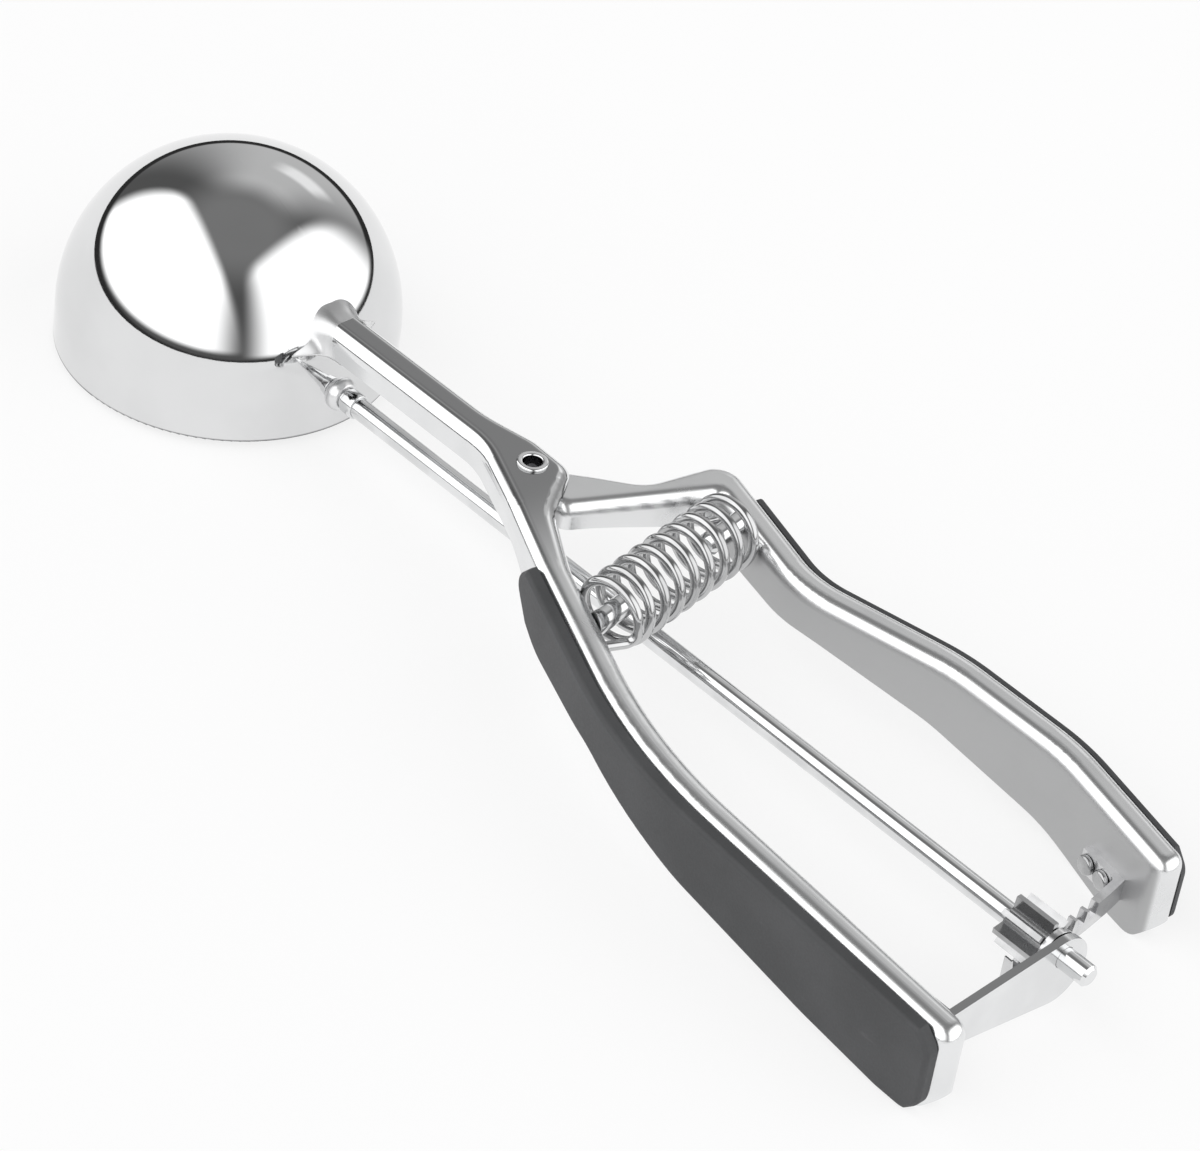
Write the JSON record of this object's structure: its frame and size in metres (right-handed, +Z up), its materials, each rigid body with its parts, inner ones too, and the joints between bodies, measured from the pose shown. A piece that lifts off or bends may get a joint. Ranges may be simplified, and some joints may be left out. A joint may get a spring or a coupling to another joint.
{
  "type": "ice cream scoop",
  "caption": "Squeeze-handle ice cream scoop: a half-ball bowl with a sweeping release blade, driven by a rack and pinion from a spring-loaded lever with rubber grips.",
  "frame": {"origin": "on the table, under the middle of the scoop as it lies mouth down", "axes": "+X from the bowl to the handle ends, +Y towards the moving handle, +Z up"},
  "size_m": [0.2202, 0.0639, 0.0349],
  "materials": {
    "polished_steel": "bright polished stainless steel",
    "grip_rubber": "matt dark grey"
  },
  "bodies": {
    "frame": {"bowl": "polished_steel", "dome_saddle": "polished_steel", "rod_bush": "polished_steel", "fixed_handle": "polished_steel", "fixed_grip": "grip_rubber", "pivot_eyelet": "polished_steel", "pivot_washer": "polished_steel", "return_spring": "polished_steel", "fixed_spring_pin": "polished_steel", "rear_bracket": "polished_steel", "bracket_rivet_front": "polished_steel", "bracket_rivet_rear": "polished_steel"},
    "lever": {"moving_handle": "polished_steel", "moving_grip": "grip_rubber", "moving_spring_pin": "polished_steel", "rack": "polished_steel", "rack_rivet_front": "polished_steel", "rack_rivet_rear": "polished_steel"},
    "sweep": {"drive_rod": "polished_steel", "rod_collar": "polished_steel", "pinion": "polished_steel", "rear_washer": "polished_steel", "sweep_blade": "polished_steel", "blade_hub": "polished_steel", "front_pin": "polished_steel", "front_collar": "polished_steel"}
  },
  "joints": [
    {"name": "squeeze", "type": "hinge", "parent": "frame", "child": "lever", "pos_m": [-0.00954, -0.00067, 0.02053], "axis": [0.0225, 0, -0.9997], "range_deg": [0, 6], "stiffness_Nm_per_rad": 6, "springref_deg": -8.59, "deforming": ["return_spring"]},
    {"name": "blade_turn", "type": "hinge", "parent": "frame", "child": "sweep", "pos_m": [-0.00068, -0.00067, 0.00872], "axis": [-0.9997, 0, -0.0225], "range_deg": [0, 181]}
  ],
  "couplings": [
    {"joint": "blade_turn", "follows": "squeeze", "ratio": 30.056}
  ]
}
